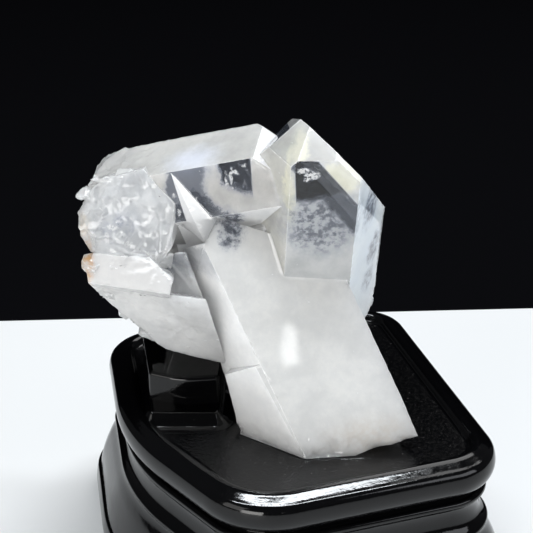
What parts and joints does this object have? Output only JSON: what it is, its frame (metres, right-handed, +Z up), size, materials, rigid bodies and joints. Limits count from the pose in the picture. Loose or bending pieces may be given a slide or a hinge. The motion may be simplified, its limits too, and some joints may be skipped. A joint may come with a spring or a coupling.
{
  "type": "quartz crystal cluster on a stand",
  "caption": "Cluster of grown-together clear and milky quartz points, upright in the shallow recess of a moulded black-lacquered wooden stand",
  "frame": {"origin": "centre of the object's box in plan, on the table under the stand", "axes": "+Z up, +X to the right of someone who faces the cluster's broad front, +Y to its back"},
  "size_m": [0.1218, 0.1194, 0.1383],
  "materials": {
    "quartz": "natural crystal faces, clear windows and milky zones, a little iron stain",
    "black_lacquer": "carved wood under glossy black lacquer with a slight orange peel"
  },
  "bodies": {
    "root": {"quartz_cluster": "quartz", "stand": "black_lacquer"}
  },
  "joints": []
}
